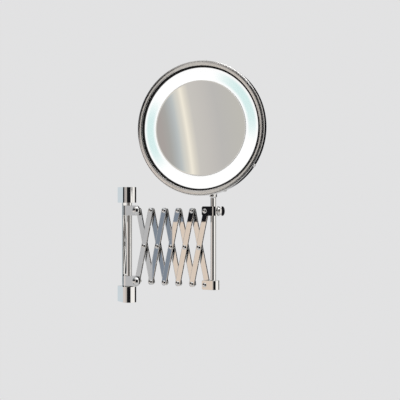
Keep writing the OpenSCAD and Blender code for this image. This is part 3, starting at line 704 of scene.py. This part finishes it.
KEPT = {
    "bracket_set_screws": SCREW_STEEL, "rod_end_screw": SCREW_STEEL, "clamp_pad": NYLON,
    "mirror_carrier": INNER_STEEL, "light_pan": LACQUER, "led_board": LACQUER, "leds": LED_PLASTIC,
    "led_driver": DARK_PLASTIC, "switch_body": DARK_PLASTIC,
    **{f"{side}_spacer": BUSH_NYLON for side in ("lower_wall", "upper_wall", "lower_end", "upper_end")},
    **{f"spacers_{k}": BUSH_NYLON for k in range(1, UNITS + 1)},
}
for node, material in KEPT.items():
    mesh = frame["nodes"][node].data
    mesh.materials.clear()
    mesh.materials.append(material)

# ---- studio -----------------------------------------------------------------------------------------


def band(tree, value, stops):
    """Colour ramp over (angle, colour) stops, laid over just the range that they span."""
    low, high = stops[0][0], stops[-1][0]
    inputs = {"Value": value, "From Min": low, "From Max": high}
    place = add(tree, "ShaderNodeMapRange", inputs).outputs[0]
    return ramp(tree, place, [((angle - low) / (high - low), colour) for angle, colour in stops])


def window(tree, value, low, high, edge):
    """1 between low and high, falling to 0 over edge outside them."""
    rising = span(tree, value, low - edge, low)
    return maths(tree, "MULTIPLY", rising, span(tree, value, high + edge, high))


BACKDROP = (0.76, 0.76, 0.765)


def studio_world():
    """Soft studio for polished metal: a pale room with a dark side behind the camera, a white screen at the
    right, tinted screens at the left and a bright ceiling. Compass angles are from -Y towards +X; the plain pale
    backdrop is what the camera itself sees."""
    world = bpy.data.worlds.new("studio")
    world.use_nodes = True
    tree = world.node_tree
    tree.nodes.clear()
    way = add(tree, "ShaderNodeSeparateXYZ", {0: add(tree, "ShaderNodeTexCoord").outputs["Generated"]}).outputs
    heading = maths(tree, "DEGREES", maths(tree, "ARCTAN2", way["X"], maths(tree, "MULTIPLY", way["Y"], -1.0)))
    rise = maths(tree, "DEGREES", maths(tree, "ARCSINE", way["Z"]))
    pale, dark, white = (0.62, 0.62, 0.63), (0.012, 0.012, 0.014), (1.15, 1.12, 1.08)
    cool, pink = (0.74, 0.82, 0.87), (0.84, 0.76, 0.72)
    steel, beige, grey = (0.27, 0.315, 0.38), (0.90, 0.76, 0.64), (0.60, 0.60, 0.61)
    rear = [(-180.0, pale), (-165.0, cool)]
    right = [(-76.0, pink), (-74.5, dark), (1.0, dark), (4.0, white), (78.0, white), (84.0, dark),
             (140.0, dark), (146.0, pale), (180.0, pale)]
    low_room = band(tree, heading, [*rear, (-142.0, cool), (-135.0, pink), *right])
    high_room = band(tree, heading, [*rear, (-145.0, cool), (-142.0, dark), (-104.0, dark), (-101.0, pink),
                                     *right])
    left_screens = [(-92.0, pink), (-91.0, grey), (-87.92, grey), (-87.85, steel)]
    low_screens = band(tree, heading, [*left_screens, (-86.72, steel), (-86.66, beige), (-83.5, beige),
                                       (-82.5, pink)])
    high_screens = band(tree, heading, [*left_screens, (-86.02, steel), (-85.96, dark), (-83.5, dark),
                                        (-82.5, pink)])
    upper = span(tree, rise, -1.40, -1.32)
    colour = blend_colour(tree, upper, low_room, high_room)
    screens = blend_colour(tree, upper, low_screens, high_screens)
    colour = blend_colour(tree, window(tree, heading, -91.9, -82.6, 0.1), colour, screens)
    over_screens = maths(tree, "MULTIPLY", window(tree, heading, -112.0, -76.0, 3.0),
                         window(tree, rise, 4.0, 30.0, 3.0))
    colour = blend_colour(tree, over_screens, colour, dark)
    colour = blend_colour(tree, span(tree, rise, 38.0, 50.0), colour, (1.0, 1.0, 1.0))
    colour = blend_colour(tree, span(tree, rise, -24.0, -34.0), colour, (0.60, 0.60, 0.60))
    slanted = maths(tree, "MULTIPLY_ADD", rise, 0.24, heading)
    card = band(tree, slanted, [
        (-71.57, (0.60, 0.52, 0.44)), (-70.07, (0.59, 0.57, 0.52)), (-67.07, (0.57, 0.55, 0.53)),
        (-65.77, (0.62, 0.59, 0.56)), (-64.32, (0.66, 0.63, 0.59)), (-63.82, (0.81, 0.76, 0.67)),
        (-63.40, (1.0, 0.93, 0.80)), (-63.02, (0.80, 0.76, 0.68)), (-62.67, (0.72, 0.71, 0.66)),
        (-62.27, (0.57, 0.60, 0.60)), (-61.87, (0.50, 0.52, 0.52)), (-61.27, (0.45, 0.44, 0.42)),
        (-60.57, (0.45, 0.41, 0.39))])
    facing = maths(tree, "MULTIPLY", window(tree, heading, -73.9, -58.0, 0.5),
                   window(tree, rise, -30.0, 29.0, 2.5))
    colour = blend_colour(tree, facing, colour, card)
    seen = add(tree, "ShaderNodeLightPath").outputs["Is Camera Ray"]
    colour = blend_colour(tree, seen, colour, BACKDROP)
    background = add(tree, "ShaderNodeBackground", {"Color": colour, "Strength": 1.0})
    out = add(tree, "ShaderNodeOutputWorld")
    tree.links.new(background.outputs[0], out.inputs["Surface"])
    bpy.context.scene.world = world


def studio_floor(level, radius):
    """A round pale matt floor well below the object."""
    angles = np.linspace(0, 2 * math.pi, 64, endpoint=False)
    edge = np.stack([radius * np.cos(angles), radius * np.sin(angles), np.full(len(angles), level)], -1)
    mesh = bpy.data.meshes.new("floor")
    mesh.from_pydata(edge.tolist(), [], [list(range(len(angles)))])
    floor = bpy.data.objects.new("floor", mesh)
    bpy.context.scene.collection.objects.link(floor)
    material, tree, shader = start_material("pale_floor")
    tone = noise(tree, object_point(tree), 3.0, 5.0, 0.6)
    colour = blend_colour(tree, tone, (0.80, 0.80, 0.80), (0.77, 0.77, 0.77))
    tree.links.new(colour, shader.inputs["Base Color"])
    shader.inputs["Roughness"].default_value = 0.8
    mesh.materials.append(material)


def soft_light(name, location, target, size, power):
    """A square area light turned to a point."""
    data = bpy.data.lights.new(name, "AREA")
    data.size, data.energy = size, power
    light = bpy.data.objects.new(name, data)
    light.location = location
    light.rotation_euler = (Vector(target) - Vector(location)).to_track_quat("-Z", "Y").to_euler()
    light.visible_camera = False
    bpy.context.scene.collection.objects.link(light)


def make_camera():
    """The view: place, aim and roll, with the lens that gives the same perspective."""
    place, aim = Vector((-0.624676, -1.678345, 0.083975)), Vector((0.102053, -0.119606, 0.083070))
    roll = math.radians(0.017)
    data = bpy.data.cameras.new("camera")
    data.lens, data.sensor_width = 85.109, 36.0
    data.clip_start, data.clip_end = 0.05, 40.0
    camera = bpy.data.objects.new("camera", data)
    look = (aim - place).to_track_quat("-Z", "Y").to_matrix()
    camera.matrix_world = Matrix.Translation(place) @ (look @ Matrix.Rotation(roll, 3, "Z")).to_4x4()
    bpy.context.scene.collection.objects.link(camera)
    bpy.context.scene.camera = camera


make_camera()
studio_world()
studio_floor(level=-1.2, radius=2.4)
soft_light("ceiling_softbox", (0.3, -0.7, 1.7), (0.08, -0.15, 0.05), size=1.2, power=14.0)
bpy.context.scene.view_settings.view_transform = "Standard"
